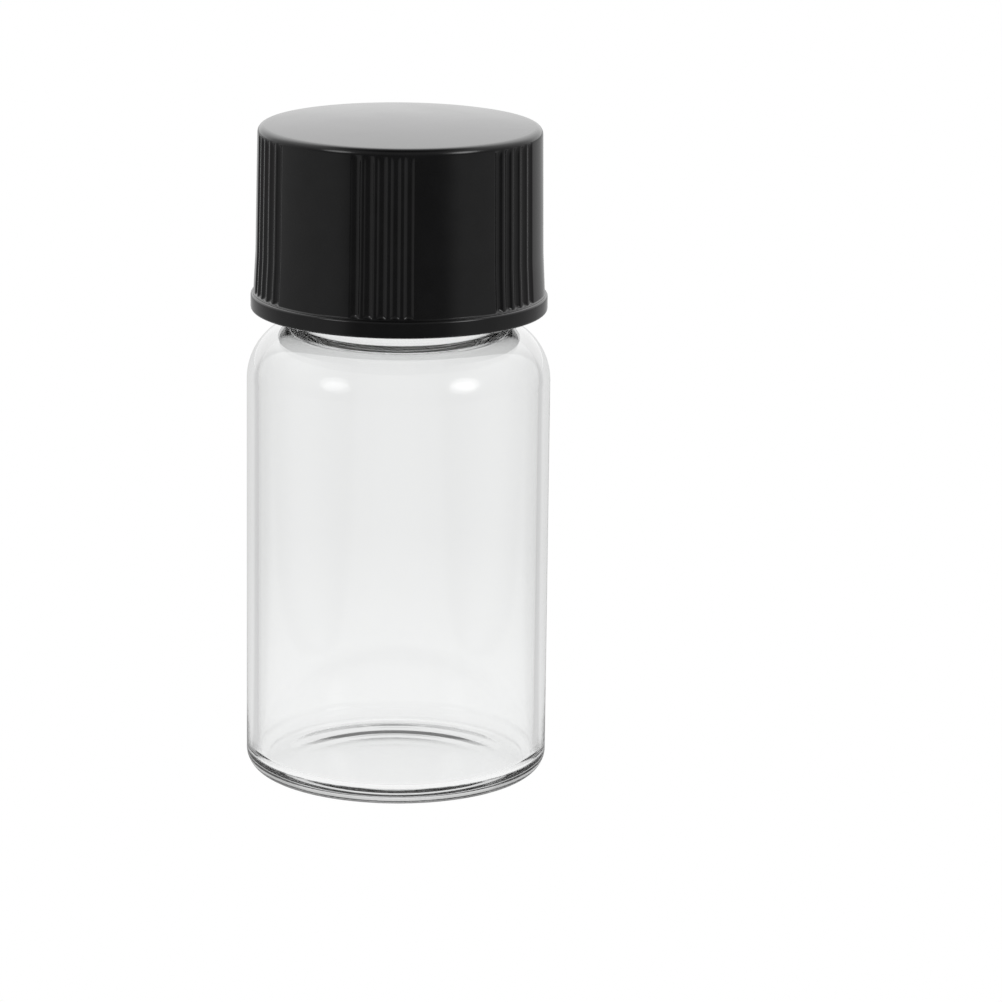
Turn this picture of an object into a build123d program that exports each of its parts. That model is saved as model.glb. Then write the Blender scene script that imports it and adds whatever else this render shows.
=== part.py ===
from build123d import *
import os
from math import sin, cos, tan, radians, sqrt, pi, atan2, degrees

# Screw-thread sample vial, 16 x 35 mm overall, in millimetres.
# Three separate pieces: a drawn and formed glass vial, a moulded screw cap and
# the soft disc pressed into the cap, which seals on the glass mouth.
# Frame: origin at the centre of the foot, +Z up the axis, cap screwed on.

# ---------------------------------------------------------------- glass vial
body_r = 8.00            # outside radius of the tube
wall = 0.62              # wall of the tube
heel_r = 1.05            # outside rounding between wall and foot
foot_in_r = 5.90         # inner edge of the flat ring the vial stands on
push_up = 0.40           # how far the middle of the foot is raised
floor_z = 0.80           # inside floor at its edge
floor_rise = 0.28        # inside floor rises this much to the middle
floor_corner_r = 0.70    # inside corner between floor and wall
wall_top_z = 21.25       # where the straight wall turns into the shoulder
shoulder_r = 3.20        # outside shoulder arc
root_fillet = 0.55       # hollow between shoulder and neck
neck_r = 5.65            # neck outside radius, at the root of the thread
mouth_z = 32.20          # sealing rim
mouth_r = 4.25           # bore of the neck
lip_out = 0.35           # rounding of the rim, outside
lip_in = 0.30            # rounding of the rim, inside
in_wall_top_z = 21.20    # where the inside wall turns into the inside shoulder
in_shoulder_r = 2.52     # inside shoulder arc
in_neck_r = 0.50         # rounding from the inside shoulder into the neck bore
bore_low_r = 4.72        # the bore opens to this just above the shoulder
bore_flare_z = 27.60     # where it starts to open

# ------------------------------------------------- 13-425 thread, 12 per inch
lead = 25.4 / 12.0       # one start, right hand
glass_thread_r = 6.45    # crest radius on the glass
glass_thread_z = 27.05   # lower end of the glass thread, at its middle
glass_turns = 1.75
glass_crest_w = 0.42
glass_root_w = 1.16
sink = 0.20              # how far each thread is rooted in its own wall

cap_bore_r = 6.62        # inside radius of the cap's skirt
cap_crest_r = 5.97       # crest radius of the cap's thread
cap_crest_w = 0.38
cap_root_w = 0.98
cap_turns = 1.75
cap_thread_rise = 0.285  # above mid-gap, towards the flank that carries the load
cap_thread_z = glass_thread_z - 0.5 * lead + cap_thread_rise

# ------------------------------------------------------------------ screw cap
cap_bottom_z = 25.00
cap_top_z = 35.00
top_wall = 1.30
cap_side = [(7.448, 34.362), (7.543, 28.10), (7.655, 25.92)]   # draft, flaring to the bead
cap_edge_r = 0.40        # rounding of the top edge
cap_edge_a = 84.2        # where the crown meets it, degrees above level
bead_r = 7.80            # band round the lower edge
bead_top_z = 25.78
bead_round = 0.16
skirt_relief_r = 6.78    # lead-in at the open end of the skirt
skirt_relief_z = 25.45

flute_groups = 6
flutes_each = 5
flute_pitch = 5.30       # degrees
flute_centre = 263.1     # azimuth of the front group's middle, degrees from +X
flute_r = 0.35           # radius of each flute's floor
flute_depth = 0.115
flute_z0 = 26.02
flute_z1 = 34.40

# ------------------------------------------------------------------ cap liner
liner_r = 6.42
liner_round = 0.15


def arc3(centre, r, a0, a1):
    """Arc about centre from angle a0 to a1 (degrees) in the r-z plane."""
    am = 0.5 * (a0 + a1)
    pts = [(centre[0] + r * cos(radians(a)), centre[1] + r * sin(radians(a)))
           for a in (a0, am, a1)]
    return ThreePointArc(*pts)


def dome(edge_r, edge_z, mid_z, outward):
    """Shallow spherical arc, its centre on the axis, between axis and edge."""
    sag = mid_z - edge_z
    ball = (edge_r ** 2 + sag ** 2) / (2 * sag)
    half = 0.5 * atan2(edge_r, ball - sag)
    mid = (ball * sin(half), mid_z - ball + ball * cos(half))
    if outward:
        return ThreePointArc((0, mid_z), mid, (edge_r, edge_z))
    return ThreePointArc((edge_r, edge_z), mid, (0, mid_z))


def turned(draw):
    """Turn a closed r-z outline round the Z axis."""
    with BuildPart() as p:
        with BuildSketch(Plane.XZ):
            with BuildLine():
                draw()
            make_face()
        revolve(axis=Axis.Z)
    return p.part


def helix_ridge(r_wall, r_crest, w_root, w_crest, z_low, turns, start_deg, sunk):
    """A screw thread of trapezoid section, rooted sunk mm into its wall."""
    out = 1.0 if r_crest > r_wall else -1.0
    w_sunk = w_root
    r0 = r_wall - out * sunk
    path = Wire([Edge.make_helix(lead, turns * lead, r_wall, center=(0, 0, z_low))])
    pts = [(r0, z_low - w_sunk / 2), (r_wall, z_low - w_root / 2),
           (r_crest, z_low - w_crest / 2), (r_crest, z_low + w_crest / 2),
           (r_wall, z_low + w_root / 2), (r0, z_low + w_sunk / 2)]
    face = Plane.XZ * make_face(Polyline([(x, z) for x, z in pts], close=True))
    ridge = Solid.sweep(face.face(), path, make_solid=True, is_frenet=True)
    return Rotation(0, 0, start_deg) * ridge


# --------------------------------------------------------------- glass_vial
sh_c = (body_r - shoulder_r, wall_top_z)
rt_x = neck_r + root_fillet
rt_z = wall_top_z + sqrt((shoulder_r + root_fillet) ** 2 - (rt_x - sh_c[0]) ** 2)
root_a = degrees(atan2(rt_z - sh_c[1], rt_x - sh_c[0]))

in_r = body_r - wall
ish_c = (in_r - in_shoulder_r, in_wall_top_z)
nk_x = bore_low_r + in_neck_r
nk_z = in_wall_top_z + sqrt((in_shoulder_r + in_neck_r) ** 2 - (nk_x - ish_c[0]) ** 2)
nk_a = degrees(atan2(nk_z - ish_c[1], nk_x - ish_c[0]))


def vial_outline():
    foot_out_r = body_r - heel_r
    dome(foot_in_r, 0, push_up, True)
    Line((foot_in_r, 0), (foot_out_r, 0))
    arc3((foot_out_r, heel_r), heel_r, -90, 0)
    Line((body_r, heel_r), (body_r, wall_top_z))
    arc3(sh_c, shoulder_r, 0, root_a)
    arc3((rt_x, rt_z), root_fillet, 180 + root_a, 180)
    Line((neck_r, rt_z), (neck_r, mouth_z - lip_out))
    arc3((neck_r - lip_out, mouth_z - lip_out), lip_out, 0, 90)
    Line((neck_r - lip_out, mouth_z), (mouth_r + lip_in, mouth_z))
    arc3((mouth_r + lip_in, mouth_z - lip_in), lip_in, 90, 180)
    Line((mouth_r, mouth_z - lip_in), (mouth_r, bore_flare_z))
    Line((mouth_r, bore_flare_z), (bore_low_r, nk_z))
    arc3((nk_x, nk_z), in_neck_r, 180, 180 + nk_a)
    arc3(ish_c, in_shoulder_r, nk_a, 0)
    Line((in_r, in_wall_top_z), (in_r, floor_z + floor_corner_r))
    arc3((in_r - floor_corner_r, floor_z + floor_corner_r), floor_corner_r, 0, -90)
    dome(in_r - floor_corner_r, floor_z, floor_z + floor_rise, False)
    Line((0, floor_z + floor_rise), (0, push_up))


glass_vial = turned(vial_outline)
glass_vial += helix_ridge(neck_r, glass_thread_r, glass_root_w, glass_crest_w,
                          glass_thread_z, glass_turns, 20.0, sink)

# ----------------------------------------------------------------- screw_cap
ceiling_z = cap_top_z - top_wall


def cap_outline():
    (rt, zt), (rm, zm), (rb, zb) = cap_side
    Line((0, ceiling_z), (0, cap_top_z))
    crown = (rt - cap_edge_r + cap_edge_r * cos(radians(cap_edge_a)),
             zt + cap_edge_r * sin(radians(cap_edge_a)))
    dome(crown[0], crown[1], cap_top_z, True)
    arc3((rt - cap_edge_r, zt), cap_edge_r, cap_edge_a, 0)
    Line((rt, zt), (rm, zm))
    Line((rm, zm), (rb, zb))
    Line((rb, zb), (bead_r - bead_round, zb))
    arc3((bead_r - bead_round, zb - bead_round), bead_round, 90, 0)
    Line((bead_r, zb - bead_round), (bead_r, cap_bottom_z + bead_round))
    arc3((bead_r - bead_round, cap_bottom_z + bead_round), bead_round, 0, -90)
    Line((bead_r - bead_round, cap_bottom_z), (skirt_relief_r, cap_bottom_z))
    Line((skirt_relief_r, cap_bottom_z), (skirt_relief_r, skirt_relief_z))
    Line((skirt_relief_r, skirt_relief_z), (cap_bore_r, skirt_relief_z + 0.16))
    Line((cap_bore_r, skirt_relief_z + 0.16), (cap_bore_r, ceiling_z))
    Line((cap_bore_r, ceiling_z), (0, ceiling_z))


screw_cap = turned(cap_outline)
screw_cap += helix_ridge(cap_bore_r, cap_crest_r, cap_root_w, cap_crest_w,
                         cap_thread_z, cap_turns, 20.0, sink)
flute_lo = (cap_side[2][0] - 0.02, flute_z0)
flute_hi = (cap_side[0][0], flute_z1)
lean = degrees(atan2(flute_hi[0] - flute_lo[0], flute_hi[1] - flute_lo[1]))
flute_len = sqrt((flute_hi[0] - flute_lo[0]) ** 2 + (flute_hi[1] - flute_lo[1]) ** 2)
cutters = []
for g in range(flute_groups):
    for f in range(flutes_each):
        az = flute_centre + g * 360.0 / flute_groups + (f - (flutes_each - 1) / 2) * flute_pitch
        c = Cylinder(flute_r, flute_len, align=(Align.CENTER, Align.CENTER, Align.MIN))
        off = flute_r - flute_depth
        c = (Rotation(0, 0, az) * Pos(flute_lo[0] + off, 0, flute_lo[1])
             * Rotation(0, lean, 0) * c)
        cutters.append(c)
screw_cap = screw_cap.cut(*[c.solid() for c in cutters])

# ----------------------------------------------------------------- cap_liner
def liner_outline():
    a, b = mouth_z, ceiling_z
    Line((0, a), (0, b))
    Line((0, b), (liner_r - liner_round, b))
    arc3((liner_r - liner_round, b - liner_round), liner_round, 90, 0)
    Line((liner_r, b - liner_round), (liner_r, a + liner_round))
    arc3((liner_r - liner_round, a + liner_round), liner_round, 0, -90)
    Line((liner_r - liner_round, a), (0, a))


cap_liner = turned(liner_outline)

os.makedirs("parts", exist_ok=True)
for name, shape in (("glass_vial", glass_vial), ("screw_cap", screw_cap),
                    ("cap_liner", cap_liner)):
    shape = shape if isinstance(shape, (Part, Compound, Solid)) else Part(shape)
    solids = shape.solids()
    print(name, "solids", len(solids), "volume", round(sum(s.volume for s in solids), 3),
          "valid", all(s.is_valid for s in solids), shape.bounding_box().size)
    export_step(solids[0] if len(solids) == 1 else shape, f"parts/{name}.step")
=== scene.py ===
import bpy, math
import numpy as np
from mathutils import Vector, Matrix


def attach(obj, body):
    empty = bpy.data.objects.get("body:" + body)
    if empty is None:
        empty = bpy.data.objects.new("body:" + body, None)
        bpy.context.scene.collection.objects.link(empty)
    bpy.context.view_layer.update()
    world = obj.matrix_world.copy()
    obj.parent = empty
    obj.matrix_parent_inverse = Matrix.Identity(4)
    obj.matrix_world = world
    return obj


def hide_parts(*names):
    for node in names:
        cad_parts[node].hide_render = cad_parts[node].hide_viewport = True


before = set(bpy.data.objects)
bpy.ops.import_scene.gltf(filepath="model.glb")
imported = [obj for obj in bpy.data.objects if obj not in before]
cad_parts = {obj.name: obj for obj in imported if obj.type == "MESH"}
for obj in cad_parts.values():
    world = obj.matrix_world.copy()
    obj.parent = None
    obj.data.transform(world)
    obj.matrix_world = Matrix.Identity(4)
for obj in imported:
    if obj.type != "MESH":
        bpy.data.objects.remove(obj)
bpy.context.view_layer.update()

MM = 0.001

# ------------------------------------------------------------------ sizes, mm
BODY_R, WALL, HEEL_R = 8.00, 0.62, 1.05
FOOT_IN_R, PUSH_UP = 5.90, 0.40
FLOOR_Z, FLOOR_RISE, FLOOR_CORNER = 0.80, 0.28, 0.70
WALL_TOP, SHOULDER_R, ROOT_FILLET = 21.25, 3.20, 0.55
NECK_R, MOUTH_Z, MOUTH_R = 5.65, 32.20, 4.25
LIP_OUT, LIP_IN = 0.35, 0.30
IN_WALL_TOP, IN_SHOULDER_R, IN_NECK_R, BORE_LOW_R = 21.20, 2.52, 0.50, 4.72
LEAD = 25.4 / 12.0
G_T, G_Z, G_TURNS, G_CREST, G_ROOT = 6.45, 27.05, 1.75, 0.42, 1.16
C_BORE, C_CREST, C_TURNS = 6.62, 5.97, 1.75
C_CREST_W, C_ROOT_W = 0.38, 0.98
C_Z = G_Z - 0.5 * LEAD + 0.285
CAP_BOT, CAP_TOP, CEILING = 25.0, 35.0, 33.7
SIDE = [(7.448, 34.362), (7.543, 28.10), (7.655, 25.92)]
EDGE_R, CROWN, BEAD_R, BEAD_ROUND = 0.40, 0.24, 7.80, 0.16
RELIEF_R, RELIEF_Z = 6.78, 25.45
FLUTE_AZ, FLUTE_PITCH, FLUTE_DEPTH = 263.1, 5.30, 0.125
FLUTE_Z0, FLUTE_Z1 = 26.00, 34.40


def arc(cx, cz, r, a0, a1, n):
    t = np.radians(np.linspace(a0, a1, n))
    return [(cx + r * math.cos(a), cz + r * math.sin(a)) for a in t]


def line(p, q, n):
    return [(p[0] + (q[0] - p[0]) * k, p[1] + (q[1] - p[1]) * k)
            for k in np.linspace(0, 1, n)]


def dome(edge_r, edge_z, mid_z, n):
    """From the axis out to the edge, a shallow cap of a sphere."""
    sag = mid_z - edge_z
    ball = (edge_r ** 2 + sag ** 2) / (2 * sag)
    a = math.atan2(edge_r, ball - sag)
    return [(ball * math.sin(k), mid_z - ball + ball * math.cos(k))
            for k in np.linspace(0, a, n)]


def join(*runs):
    out = []
    for run in runs:
        for p in run:
            if not out or abs(p[0] - out[-1][0]) + abs(p[1] - out[-1][1]) > 1e-6:
                out.append(p)
    return out


def lathe(name, rows, thetas, shift=None):
    """Closed mesh turned from an outline that starts and ends on the axis. shift(r, z, theta) gives (dr, dz)."""
    rz = np.array(rows)
    assert rz[0, 0] < 1e-9 and rz[-1, 0] < 1e-9
    mid = rz[1:-1]
    th = np.array(thetas)
    R = np.repeat(mid[:, :1], len(th), 1)
    Z = np.repeat(mid[:, 1:], len(th), 1)
    T = np.repeat(th[None, :], len(mid), 0)
    if shift is not None:
        dr, dz = shift(R, Z, T)
        R, Z = R + dr, Z + dz
    V = np.stack([R * np.cos(T), R * np.sin(T), Z], -1).reshape(-1, 3)
    nr, nc = R.shape
    V = np.vstack([V, [[0, 0, rz[0, 1]], [0, 0, rz[-1, 1]]]]) * MM
    i = np.arange(nr - 1)[:, None] * nc
    j = np.arange(nc)[None, :]
    jn = (j + 1) % nc
    quads = np.stack([i + j, i + jn, i + nc + jn, i + nc + j], -1).reshape(-1, 4)
    j = np.arange(nc)
    jn = (j + 1) % nc
    a = np.stack([np.full(nc, nr * nc), jn, j], -1)
    b = np.stack([np.full(nc, nr * nc + 1), (nr - 1) * nc + j, (nr - 1) * nc + jn], -1)
    me = bpy.data.meshes.new(name)
    me.from_pydata([tuple(v) for v in V], [], [tuple(q) for q in quads]
                   + [tuple(t) for t in a] + [tuple(t) for t in b])
    me.polygons.foreach_set("use_smooth", np.ones(len(me.polygons), dtype=bool))
    me.update()
    ob = bpy.data.objects.new(name, me)
    bpy.context.scene.collection.objects.link(ob)
    return ob


def smooth(x):
    x = np.clip(x, 0, 1)
    return x * x * (3 - 2 * x)


def thread(Z, T, z0, turns, root_w, crest_w, fade_deg):
    """0 to 1: how much of the thread's height stands at this place."""
    base = np.mod(np.degrees(T) - 20.0, 360.0) / 360.0
    out = np.zeros_like(Z)
    for k in range(-1, 4):
        t = base + k
        d = np.abs(Z - (z0 + LEAD * t))
        side = 1 - smooth((d - crest_w / 2) / ((root_w - crest_w) / 2))
        end = smooth(t * 360 / fade_deg + 0.0) * smooth((turns - t) * 360 / fade_deg)
        end = np.where((t >= 0) & (t <= turns), end, 0)
        out = np.maximum(out, side * end)
    return out


# ------------------------------------------------------------- the glass vial
def vial_rows():
    shx, shz = BODY_R - SHOULDER_R, WALL_TOP
    rtx = NECK_R + ROOT_FILLET
    rtz = WALL_TOP + math.sqrt((SHOULDER_R + ROOT_FILLET) ** 2 - (rtx - shx) ** 2)
    ra = math.degrees(math.atan2(rtz - shz, rtx - shx))
    inr = BODY_R - WALL
    ix = inr - IN_SHOULDER_R
    nkx = BORE_LOW_R + IN_NECK_R
    nkz = IN_WALL_TOP + math.sqrt((IN_SHOULDER_R + IN_NECK_R) ** 2 - (nkx - ix) ** 2)
    na = math.degrees(math.atan2(nkz - IN_WALL_TOP, nkx - ix))
    fo = BODY_R - HEEL_R
    return join(
        dome(FOOT_IN_R, 0.0, PUSH_UP, 12)[:-1],
        [(FOOT_IN_R - 0.10, 0.020), (FOOT_IN_R + 0.10, 0.0)],
        line((FOOT_IN_R + 0.2, 0), (fo, 0), 4),
        arc(fo, HEEL_R, HEEL_R, -90, 0, 18),
        line((BODY_R, HEEL_R), (BODY_R, WALL_TOP), 14),
        arc(shx, shz, SHOULDER_R, 0, ra, 30),
        arc(rtx, rtz, ROOT_FILLET, 180 + ra, 180, 9),
        line((NECK_R, rtz), (NECK_R, 26.3), 6),
        line((NECK_R, 26.3), (NECK_R, 31.5), 84),
        line((NECK_R, 31.5), (NECK_R, MOUTH_Z - LIP_OUT), 3),
        arc(NECK_R - LIP_OUT, MOUTH_Z - LIP_OUT, LIP_OUT, 0, 90, 8),
        line((NECK_R - LIP_OUT, MOUTH_Z), (MOUTH_R + LIP_IN, MOUTH_Z), 3),
        arc(MOUTH_R + LIP_IN, MOUTH_Z - LIP_IN, LIP_IN, 90, 180, 8),
        line((MOUTH_R, MOUTH_Z - LIP_IN), (MOUTH_R, 27.6), 10),
        [(MOUTH_R + (BORE_LOW_R - MOUTH_R) * k, 27.6 + (nkz - 27.6) * k)
         for k in np.linspace(0, 1, 14)],
        arc(nkx, nkz, IN_NECK_R, 180, 180 + na, 12),
        arc(ix, IN_WALL_TOP, IN_SHOULDER_R, na, 0, 26),
        line((inr, IN_WALL_TOP), (inr, FLOOR_Z + FLOOR_CORNER), 14),
        arc(inr - FLOOR_CORNER, FLOOR_Z + FLOOR_CORNER, FLOOR_CORNER, 0, -90, 14),
        dome(inr - FLOOR_CORNER, FLOOR_Z, FLOOR_Z + FLOOR_RISE, 12)[::-1])


def vial_shift(R, Z, T):
    on_neck = (R > NECK_R - 0.02) & (R < NECK_R + 0.02) & (Z > 26.0)
    dr = np.where(on_neck, (G_T - NECK_R) * thread(Z, T, G_Z, G_TURNS, G_ROOT, G_CREST, 34), 0)
    return dr, np.zeros_like(Z)


N = 288
vial = lathe("vial_glass", vial_rows(), [2 * math.pi * k / N for k in range(N)], vial_shift)

# -------------------------------------------------------------- the screw cap
def cap_columns():
    out = []
    half = 0.374 * FLUTE_PITCH          # half a flute's opening
    for g in range(6):
        mid = FLUTE_AZ + 60 * g
        first, last = mid - 2 * FLUTE_PITCH - half, mid + 2 * FLUTE_PITCH + half
        for f in range(5):
            c = mid + (f - 2) * FLUTE_PITCH
            for u in (-1.0, -0.93, -0.75, -0.5, -0.2, 0.2, 0.5, 0.75, 0.93, 1.0):
                out.append(c + half * u)
        gap0, gap1 = last, first + 60
        for k in (0.012, 0.04, 0.12, 0.25, 0.375, 0.5, 0.625, 0.75, 0.88, 0.96, 0.988):
            out.append(gap0 + (gap1 - gap0) * k)
    return [math.radians(a) for a in sorted(a % 360 for a in out)]


def cap_rows():
    (rt, zt), (rm, zm), (rb, zb) = SIDE
    side = []
    for z in [34.362, 34.26, 34.18, 34.1, 34.0, 33.9, 33.7, 33.2, 32.2, 31.2, 30.2, 29.2,
              28.1, 27.3, 26.9, 26.6, 26.45, 26.32, 26.24, 26.16, 26.1, 26.05, 26.01, 25.97]:
        if z >= zm:
            r = rm + (rt - rm) * (z - zm) / (zt - zm)
        else:
            r = rb + (rm - rb) * ((z - zb) / (zm - zb))
        side.append((r, z))
    up = join(
        dome(7.0884, CAP_TOP - CROWN, CAP_TOP, 26),
        arc(rt - EDGE_R, zt, EDGE_R, 82, 0, 13),
        side,
        arc(rb + 0.05, zb + 0.05 - 0.0, 0.05, 180, 270, 4),
        arc(BEAD_R - BEAD_ROUND, zb - BEAD_ROUND, BEAD_ROUND, 90, 0, 8),
        line((BEAD_R, zb - BEAD_ROUND), (BEAD_R, CAP_BOT + BEAD_ROUND), 3),
        arc(BEAD_R - BEAD_ROUND, CAP_BOT + BEAD_ROUND, BEAD_ROUND, 0, -90, 8),
        line((BEAD_R - BEAD_ROUND, CAP_BOT), (RELIEF_R + 0.08, CAP_BOT), 4),
        arc(RELIEF_R + 0.08, CAP_BOT + 0.08, 0.08, 270, 180, 4),
        line((RELIEF_R, CAP_BOT + 0.08), (RELIEF_R, RELIEF_Z), 3),
        line((RELIEF_R, RELIEF_Z), (C_BORE, RELIEF_Z + 0.16), 3),
        line((C_BORE, RELIEF_Z + 0.16), (C_BORE, 30.7), 56),
        line((C_BORE, 30.7), (C_BORE, CEILING - 0.2), 4),
        arc(C_BORE - 0.2, CEILING - 0.2, 0.2, 0, 90, 4),
        line((C_BORE - 0.2, CEILING), (0.0, CEILING), 6))
    return up[::-1]


def cap_shift(R, Z, T):
    dr = np.zeros_like(R)
    dz = np.zeros_like(R)
    deg = np.degrees(T)
    half = 0.374 * FLUTE_PITCH
    rel = np.mod(deg - FLUTE_AZ + 30, 60) - 30
    k = np.clip(np.round(rel / FLUTE_PITCH), -2, 2)
    u = (rel - k * FLUTE_PITCH) / half
    across = np.where(np.abs(u) < 1, 1 - u * u, 0)
    low = np.sqrt(np.clip(1 - np.clip((FLUTE_Z0 + 0.22 - Z) / 0.22, 0, 1) ** 2, 0, 1))
    high = np.sqrt(np.clip(1 - np.clip((Z - (FLUTE_Z1 - 0.45)) / 0.45, 0, 1) ** 2, 0, 1))
    outside = (R > 7.2) & (Z > FLUTE_Z0) & (Z < FLUTE_Z1)
    dr -= np.where(outside, FLUTE_DEPTH * across * low * high, 0)
    inside = (np.abs(R - C_BORE) < 0.02) & (Z < 31.0)
    dr -= np.where(inside, (C_BORE - C_CREST)
                   * thread(Z, T, C_Z, C_TURNS, C_ROOT_W, C_CREST_W, 20), 0)
    top = Z > CAP_TOP - 0.001
    dz -= np.where(top, 0.0, 0)
    return dr, dz


rows = cap_rows()
rows[-1] = (0.0, CAP_TOP)
cap = lathe("cap_black", rows, cap_columns(), cap_shift)

# -------------------------------------------------------------- the cap liner
def liner_rows():
    r, rd, a, b = 6.42, 0.15, MOUTH_Z + 0.004, CEILING - 0.004
    return join(line((0, a), (r - rd, a), 16), arc(r - rd, a + rd, rd, -90, 0, 6),
                line((r, a + rd), (r, b - rd), 5), arc(r - rd, b - rd, rd, 0, 90, 6),
                line((r - rd, b), (0, b), 16))


def liner_shift(R, Z, T):
    # the rim's ring, pressed lightly into the sealing side
    ring = np.exp(-((R - 4.95) / 0.30) ** 2)
    return np.zeros_like(R), np.where(Z < MOUTH_Z + 0.02, 0.035 * ring, 0)


liner = lathe("cap_liner_disc", liner_rows(), [2 * math.pi * k / 160 for k in range(160)],
              liner_shift)

# ------------------------------------------------------------------ materials
def material(name):
    m = bpy.data.materials.new(name)
    m.use_nodes = True
    nt = m.node_tree
    nt.nodes.clear()
    out = nt.nodes.new("ShaderNodeOutputMaterial")
    bs = nt.nodes.new("ShaderNodeBsdfPrincipled")
    nt.links.new(bs.outputs[0], out.inputs["Surface"])
    return m, nt, bs


def noise(nt, scale, detail=3.0, rough=0.5, stretch=None, seed=0.0):
    co = nt.nodes.new("ShaderNodeTexCoord")
    mp = nt.nodes.new("ShaderNodeMapping")
    mp.inputs["Location"].default_value = (seed, seed * 0.7, seed * 1.3)
    if stretch:
        mp.inputs["Scale"].default_value = stretch
    nt.links.new(co.outputs["Object"], mp.inputs["Vector"])
    t = nt.nodes.new("ShaderNodeTexNoise")
    t.inputs["Scale"].default_value = scale
    t.inputs["Detail"].default_value = detail
    t.inputs["Roughness"].default_value = rough
    nt.links.new(mp.outputs[0], t.inputs["Vector"])
    return t


def ramp(nt, src, lo, hi, a, b):
    r = nt.nodes.new("ShaderNodeMapRange")
    r.inputs["From Min"].default_value = lo
    r.inputs["From Max"].default_value = hi
    r.inputs["To Min"].default_value = a
    r.inputs["To Max"].default_value = b
    nt.links.new(src, r.inputs["Value"])
    return r.outputs[0]


def bump(nt, bs, height, dist, strength, under=None):
    b = nt.nodes.new("ShaderNodeBump")
    b.inputs["Distance"].default_value = dist
    b.inputs["Strength"].default_value = strength
    nt.links.new(height, b.inputs["Height"])
    if under is not None:
        nt.links.new(under, b.inputs["Normal"])
    nt.links.new(b.outputs[0], bs.inputs["Normal"])
    return b.outputs[0]


glass, nt, bs = material("clear_vial_glass")
bs.inputs["Base Color"].default_value = (0.962, 0.966, 0.965, 1)
bs.inputs["Roughness"].default_value = 0.0
bs.inputs["IOR"].default_value = 1.50
bs.inputs["Transmission Weight"].default_value = 1.0
bs.inputs["Specular IOR Level"].default_value = 0.5
# drawn tube: long, very shallow waves round the wall
wave = noise(nt, 160.0, 2.0, 0.45, stretch=(1.0, 1.0, 0.16), seed=3.1)
bump(nt, bs, wave.outputs["Fac"], 0.00004, 0.20)

black, nt, bs = material("moulded_black_plastic")
tone = noise(nt, 900.0, 4.0, 0.6, seed=1.7)
cr = nt.nodes.new("ShaderNodeValToRGB")
cr.color_ramp.elements[0].position = 0.35
cr.color_ramp.elements[0].color = (0.0032, 0.0032, 0.0034, 1)
cr.color_ramp.elements[1].position = 0.70
cr.color_ramp.elements[1].color = (0.0050, 0.0050, 0.0053, 1)
nt.links.new(tone.outputs["Fac"], cr.inputs[0])
nt.links.new(cr.outputs[0], bs.inputs["Base Color"])
bs.inputs["IOR"].default_value = 1.50
bs.inputs["Specular IOR Level"].default_value = 0.5
rn = noise(nt, 420.0, 4.0, 0.6, seed=5.0)
nt.links.new(ramp(nt, rn.outputs["Fac"], 0.3, 0.7, 0.10, 0.16), bs.inputs["Roughness"])
fine = noise(nt, 5200.0, 2.0, 0.5, seed=2.2)
wide = noise(nt, 260.0, 2.0, 0.5, stretch=(1.0, 1.0, 0.35), seed=7.7)
n1 = bump(nt, bs, wide.outputs["Fac"], 0.00003, 0.04)
bump(nt, bs, fine.outputs["Fac"], 0.000004, 0.35, under=n1)

foam, nt, bs = material("white_liner_foam")
ft = noise(nt, 700.0, 3.0, 0.6, seed=4.4)
cr = nt.nodes.new("ShaderNodeValToRGB")
cr.color_ramp.elements[0].color = (0.74, 0.74, 0.71, 1)
cr.color_ramp.elements[1].color = (0.86, 0.86, 0.84, 1)
nt.links.new(ft.outputs["Fac"], cr.inputs[0])
nt.links.new(cr.outputs[0], bs.inputs["Base Color"])
bs.inputs["Roughness"].default_value = 0.62
co = nt.nodes.new("ShaderNodeTexCoord")
vo = nt.nodes.new("ShaderNodeTexVoronoi")
vo.inputs["Scale"].default_value = 3600.0
nt.links.new(co.outputs["Object"], vo.inputs["Vector"])
bump(nt, bs, vo.outputs["Distance"], 0.00003, 0.5)

for ob, mat, node, body, slot in (
        (vial, glass, "glass_vial", "vial", "clear_glass"),
        (cap, black, "screw_cap", "cap", "black_cap"),
        (liner, foam, "cap_liner", "liner", "white_liner")):
    ob.data.materials.append(mat)
    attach(ob, body)
    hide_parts(node)

# ------------------------------------------------------------ stage and light
def curve(nt, src, points):
    """A float through a smooth table of (x, y) points."""
    c = nt.nodes.new("ShaderNodeFloatCurve")
    xs = [p[0] for p in points]
    ys = [p[1] for p in points]
    span, top = max(xs), max(ys)
    cu = c.mapping.curves[0]
    cu.points[0].location = (0.0, ys[0] / top)
    cu.points[1].location = (1.0, ys[-1] / top)
    for x, y in points[1:-1]:
        cu.points.new(x / span, y / top)
    for p in cu.points:
        p.handle_type = "AUTO_CLAMPED"
    c.mapping.update()
    d = nt.nodes.new("ShaderNodeMath"); d.operation = "DIVIDE"
    d.inputs[1].default_value = span
    nt.links.new(src, d.inputs[0])
    nt.links.new(d.outputs[0], c.inputs["Value"])
    m = nt.nodes.new("ShaderNodeMath"); m.operation = "MULTIPLY"
    m.inputs[1].default_value = top
    nt.links.new(c.outputs[0], m.inputs[0])
    return m.outputs[0]


def op(nt, kind, a, b=None, c=None):
    m = nt.nodes.new("ShaderNodeMath"); m.operation = kind
    for k, v in enumerate((a, b, c)):
        if v is None:
            continue
        if isinstance(v, (int, float)):
            m.inputs[k].default_value = v
        else:
            nt.links.new(v, m.inputs[k])
    return m.outputs[0]


def mixf(nt, fac, a, b):
    m = nt.nodes.new("ShaderNodeMix"); m.data_type = "FLOAT"
    for key, v in (("Factor", fac), ("A", a), ("B", b)):
        s = m.inputs[key]
        if isinstance(v, (int, float)):
            s.default_value = v
        else:
            nt.links.new(v, s)
    return m.outputs[0]


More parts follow.
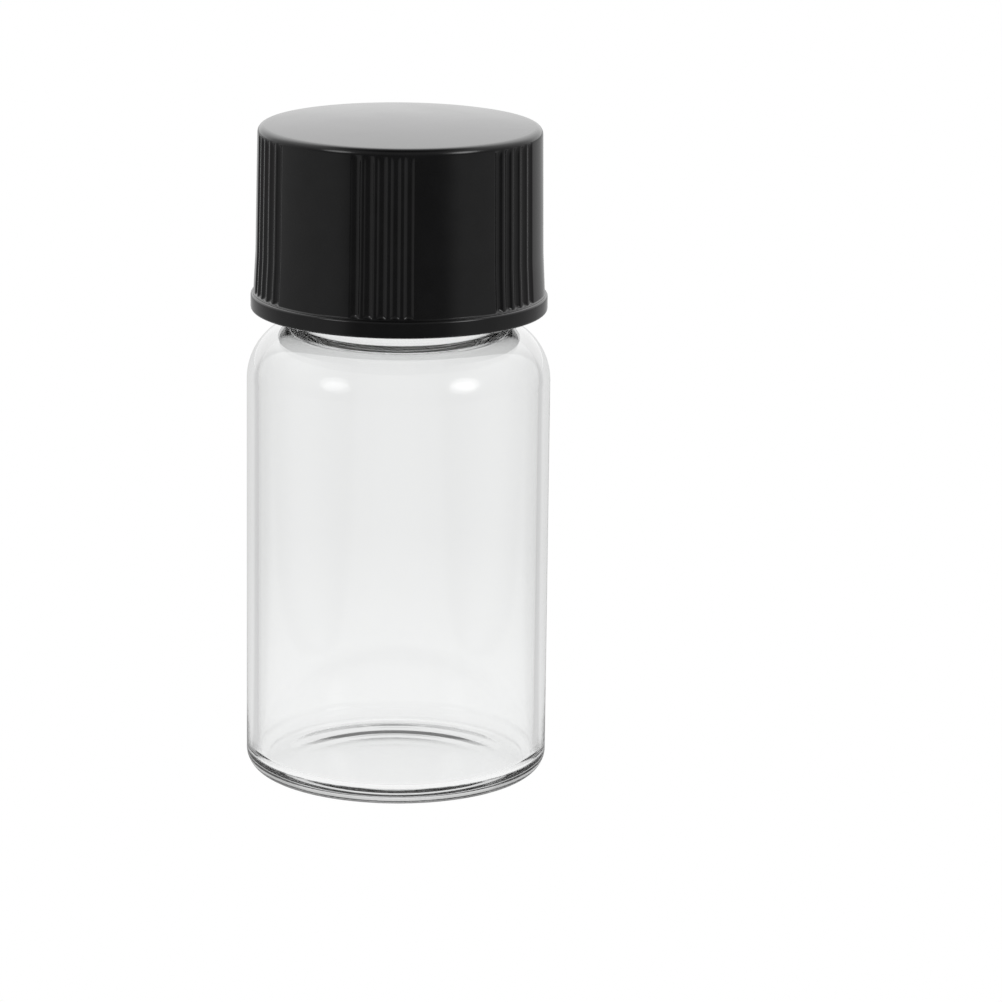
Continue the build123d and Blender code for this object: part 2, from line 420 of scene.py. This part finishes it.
# what the glass looks through, by degrees round from straight behind
THROUGH = [(0, 1.0), (9, 1.0), (13, 0.95), (28, 0.93), (36, 0.70), (52, 0.72), (75, 0.90), (90, 0.95)]
# what shiny surfaces mirror from the bench, by degrees round from the front
MIRROR = [(0, 0.10), (30, 0.12), (55, 0.36), (95, 0.36), (130, 0.40), (160, 0.55), (180, 0.9)]


def paths(nt):
    lp = nt.nodes.new("ShaderNodeLightPath")
    mirror = op(nt, "MULTIPLY", lp.outputs["Is Glossy Ray"],
                op(nt, "SUBTRACT", 1.0, lp.outputs["Is Transmission Ray"]))
    return lp.outputs["Is Camera Ray"], mirror


floor_m = bpy.data.materials.new("pale_bench")
floor_m.use_nodes = True
nt = floor_m.node_tree
nt.nodes.clear()
out = nt.nodes.new("ShaderNodeOutputMaterial")
em = nt.nodes.new("ShaderNodeEmission")
nt.links.new(em.outputs[0], out.inputs["Surface"])
geo = nt.nodes.new("ShaderNodeNewGeometry")
sep = nt.nodes.new("ShaderNodeSeparateXYZ")
nt.links.new(geo.outputs["Position"], sep.inputs[0])
ax = op(nt, "ABSOLUTE", sep.outputs["X"])
ay = op(nt, "ABSOLUTE", sep.outputs["Y"])
axc = op(nt, "MAXIMUM", op(nt, "SUBTRACT", ax, 0.008), 0.0)
round_back = op(nt, "DEGREES", op(nt, "ARCTAN2", axc, ay))
far = op(nt, "SQRT", op(nt, "ADD", op(nt, "MULTIPLY", ax, ax), op(nt, "MULTIPLY", ay, ay)))
seen = op(nt, "MULTIPLY", curve(nt, round_back, THROUGH), ramp(nt, far, 0.016, 0.05, 1.0, 0.925))
round_front = op(nt, "DEGREES", op(nt, "ARCTAN2", ax, op(nt, "MULTIPLY", sep.outputs["Y"], -1.0)))
mirrored = curve(nt, round_front, MIRROR)
cam_ray, gloss_ray = paths(nt)
v = mixf(nt, gloss_ray, seen, mirrored)
v = mixf(nt, cam_ray, v, 1.0)
nt.links.new(v, em.inputs["Strength"])

fm = bpy.data.meshes.new("bench")
seg = 96
vs = [(0.0, 0.0, -0.00003)] + [(1.6 * math.cos(2 * math.pi * k / seg), 1.6 * math.sin(2 * math.pi * k / seg), -0.00003) for k in range(seg)]
fm.from_pydata(vs, [], [(0, 1 + k, 1 + (k + 1) % seg) for k in range(seg)])
bench = bpy.data.objects.new("bench", fm)
bench.data.materials.append(floor_m)
bpy.context.scene.collection.objects.link(bench)

world = bpy.data.worlds.new("studio")
bpy.context.scene.world = world
world.use_nodes = True
nt = world.node_tree
nt.nodes.clear()
out = nt.nodes.new("ShaderNodeOutputWorld")
bg = nt.nodes.new("ShaderNodeBackground")
nt.links.new(bg.outputs[0], out.inputs["Surface"])
co = nt.nodes.new("ShaderNodeTexCoord")
sep = nt.nodes.new("ShaderNodeSeparateXYZ")
nt.links.new(co.outputs["Generated"], sep.inputs[0])
ax = op(nt, "ABSOLUTE", sep.outputs["X"])
ay = op(nt, "ABSOLUTE", sep.outputs["Y"])
seen = op(nt, "MULTIPLY", curve(nt, op(nt, "DEGREES", op(nt, "ARCTAN2", ax, ay)), THROUGH), 0.925)
az = op(nt, "DEGREES", op(nt, "ARCTAN2", ax, op(nt, "MULTIPLY", sep.outputs["Y"], -1.0)))
el = op(nt, "DEGREES", op(nt, "ARCSINE", sep.outputs["Z"]))
el = op(nt, "MAXIMUM", el, 0.0)
by_height = curve(nt, el, [(0, 1.35), (5, 1.55), (10, 1.60), (18, 1.9), (26, 2.4), (34, 2.9), (48, 3.2), (60, 2.0), (70, 0.8), (80, 0.5), (90, 0.42)])
by_side = curve(nt, az, [(0, 0.10), (35, 0.12), (80, 0.28), (120, 0.6), (150, 1.0), (180, 1.0)])
mirrored = op(nt, "MULTIPLY", by_height, by_side)
for toward, wide_deg, peak in (((-0.72, -0.52, 0.46), 9.0, 3.0), ((0.74, -0.50, 0.46), 10.0, 4.6)):
    d = Vector(toward).normalized()
    dot = nt.nodes.new("ShaderNodeVectorMath"); dot.operation = "DOT_PRODUCT"
    dot.inputs[1].default_value = d
    nt.links.new(co.outputs["Generated"], dot.inputs[0])
    away = op(nt, "SUBTRACT", 1.0, dot.outputs["Value"])
    k = 1 - math.cos(math.radians(wide_deg))
    glow = op(nt, "MULTIPLY", op(nt, "POWER", 2.718, op(nt, "MULTIPLY", away, -1.0 / k)), peak)
    mirrored = op(nt, "ADD", mirrored, glow)
cam_ray, gloss_ray = paths(nt)
v = mixf(nt, gloss_ray, seen, mirrored)
v = mixf(nt, cam_ray, v, 1.0)
nt.links.new(v, bg.inputs["Strength"])


def softbox(name, toward, dist, w, h, radiance):
    la = bpy.data.lights.new(name, "AREA")
    la.shape = "ELLIPSE"
    la.size, la.size_y = w, h
    la.energy = radiance * math.pi * w * h
    ob = bpy.data.objects.new(name, la)
    bpy.context.scene.collection.objects.link(ob)
    d = Vector(toward).normalized()
    ob.location = d * dist + Vector((0, 0, 0.022))
    ob.rotation_mode = "QUATERNION"
    ob.rotation_quaternion = d.to_track_quat("Z", "Y")
    ob.visible_camera = False
    return ob


softbox("softbox_left", (-0.72, -0.52, 0.46), 0.50, 0.20, 0.20, 0.8)
softbox("softbox_right", (0.74, -0.50, 0.46), 0.50, 0.20, 0.20, 1.0)

# --------------------------------------------------------------------- camera
D, HC = 0.2501, 0.07736
pitch, yaw, roll = math.radians(14.084), math.radians(1.256), math.radians(0.730)
fwd = Vector((math.sin(yaw) * math.cos(pitch), math.cos(yaw) * math.cos(pitch), -math.sin(pitch)))
right = Vector((math.cos(yaw), -math.sin(yaw), 0))
up = right.cross(fwd)
r2 = math.cos(roll) * right + math.sin(roll) * up
u2 = -math.sin(roll) * right + math.cos(roll) * up
cd = bpy.data.cameras.new("camera")
cd.sensor_fit = "HORIZONTAL"
cd.sensor_width = 36.0
cd.lens = 4857.1 / 1002.0 * 36.0
cd.clip_start, cd.clip_end = 0.01, 10.0
cd.dof.use_dof = False
cam = bpy.data.objects.new("camera", cd)
m = Matrix((r2, u2, -fwd)).transposed().to_4x4()
m.translation = Vector((0, -D, HC))
cam.matrix_world = m
bpy.context.scene.collection.objects.link(cam)
bpy.context.scene.camera = cam
bpy.context.scene.view_settings.view_transform = "Standard"
bpy.context.scene.view_settings.look = "None"
cy = bpy.context.scene.cycles
cy.max_bounces, cy.glossy_bounces, cy.transmission_bounces = 40, 32, 40
